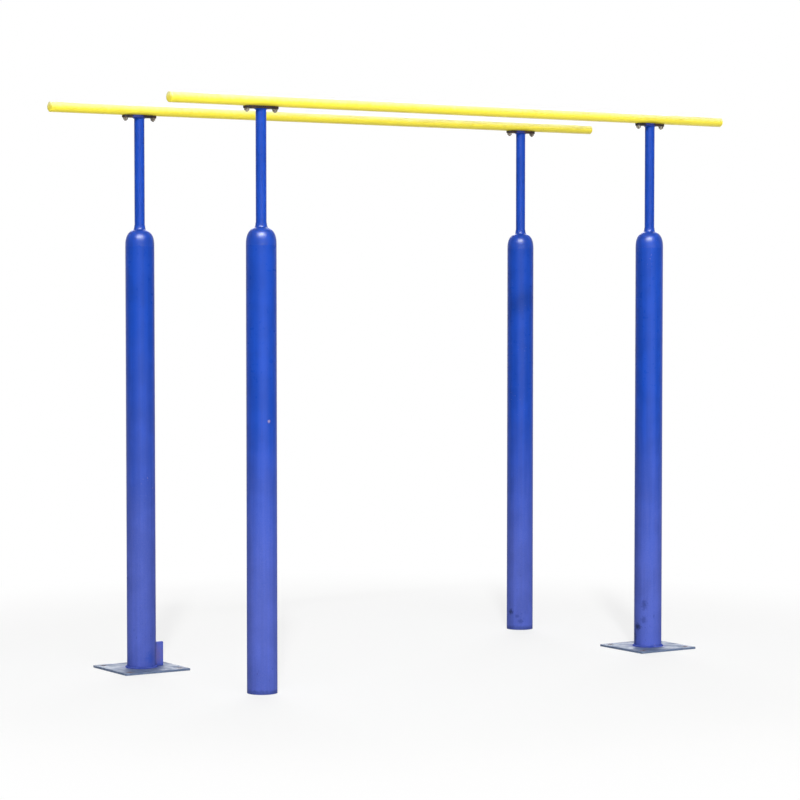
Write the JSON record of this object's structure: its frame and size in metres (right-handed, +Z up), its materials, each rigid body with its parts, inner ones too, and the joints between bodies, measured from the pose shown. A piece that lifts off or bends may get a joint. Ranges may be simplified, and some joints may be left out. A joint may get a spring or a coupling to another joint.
{
  "type": "outdoor parallel bars",
  "caption": "Free-standing outdoor parallel bars: round bars bolted on slim stems that rise from round domed posts.",
  "frame": {"origin": "on the ground, at the centre of the four posts", "axes": "+X along the bars, to the right in the picture; +Y across the bars, away from the camera; +Z up"},
  "size_m": [2.67, 1.0618, 2.105],
  "materials": {
    "post_paint": "glossy blue paint, paler and dusty low down",
    "bar_paint": "glossy yellow paint",
    "joint_steel": "dark, worn and rust-stained",
    "fastener_steel": "weathered zinc",
    "plate_steel": "weathered galvanised steel",
    "inner_steel": "bare mill finish"
  },
  "bodies": {
    "root": {"post_tube_front_left": "post_paint", "dome_cap_front_left": "post_paint", "neck_collar_front_left": "post_paint", "stem_tube_front_left": "post_paint", "stem_guide_front_left": "inner_steel", "stem_flange_front_left": "joint_steel", "bar_saddle_front_left": "joint_steel", "joint_stud_front_left_inner": "fastener_steel", "flange_nut_front_left_inner": "fastener_steel", "joint_stud_front_left_outer": "fastener_steel", "flange_nut_front_left_outer": "fastener_steel", "post_tube_front_right": "post_paint", "dome_cap_front_right": "post_paint", "neck_collar_front_right": "post_paint", "stem_tube_front_right": "post_paint", "stem_guide_front_right": "inner_steel", "stem_flange_front_right": "joint_steel", "bar_saddle_front_right": "joint_steel", "joint_stud_front_right_inner": "fastener_steel", "flange_nut_front_right_inner": "fastener_steel", "joint_stud_front_right_outer": "fastener_steel", "flange_nut_front_right_outer": "fastener_steel", "post_tube_rear_left": "post_paint", "dome_cap_rear_left": "post_paint", "neck_collar_rear_left": "post_paint", "stem_tube_rear_left": "post_paint", "stem_guide_rear_left": "inner_steel", "stem_flange_rear_left": "joint_steel", "bar_saddle_rear_left": "joint_steel", "joint_stud_rear_left_inner": "fastener_steel", "flange_nut_rear_left_inner": "fastener_steel", "joint_stud_rear_left_outer": "fastener_steel", "flange_nut_rear_left_outer": "fastener_steel", "post_tube_rear_right": "post_paint", "dome_cap_rear_right": "post_paint", "neck_collar_rear_right": "post_paint", "stem_tube_rear_right": "post_paint", "stem_guide_rear_right": "inner_steel", "stem_flange_rear_right": "joint_steel", "bar_saddle_rear_right": "joint_steel", "joint_stud_rear_right_inner": "fastener_steel", "flange_nut_rear_right_inner": "fastener_steel", "joint_stud_rear_right_outer": "fastener_steel", "flange_nut_rear_right_outer": "fastener_steel", "base_plate_front_right": "plate_steel", "base_plate_rear_left": "plate_steel", "foot_disc_front_left": "inner_steel", "foot_disc_rear_right": "inner_steel", "foot_gusset_rear_left": "post_paint", "bar_tube_front": "bar_paint", "bar_end_cap_front_left": "bar_paint", "bar_end_cap_front_right": "bar_paint", "bar_tube_rear": "bar_paint", "bar_end_cap_rear_left": "bar_paint", "bar_end_cap_rear_right": "bar_paint"}
  },
  "joints": []
}
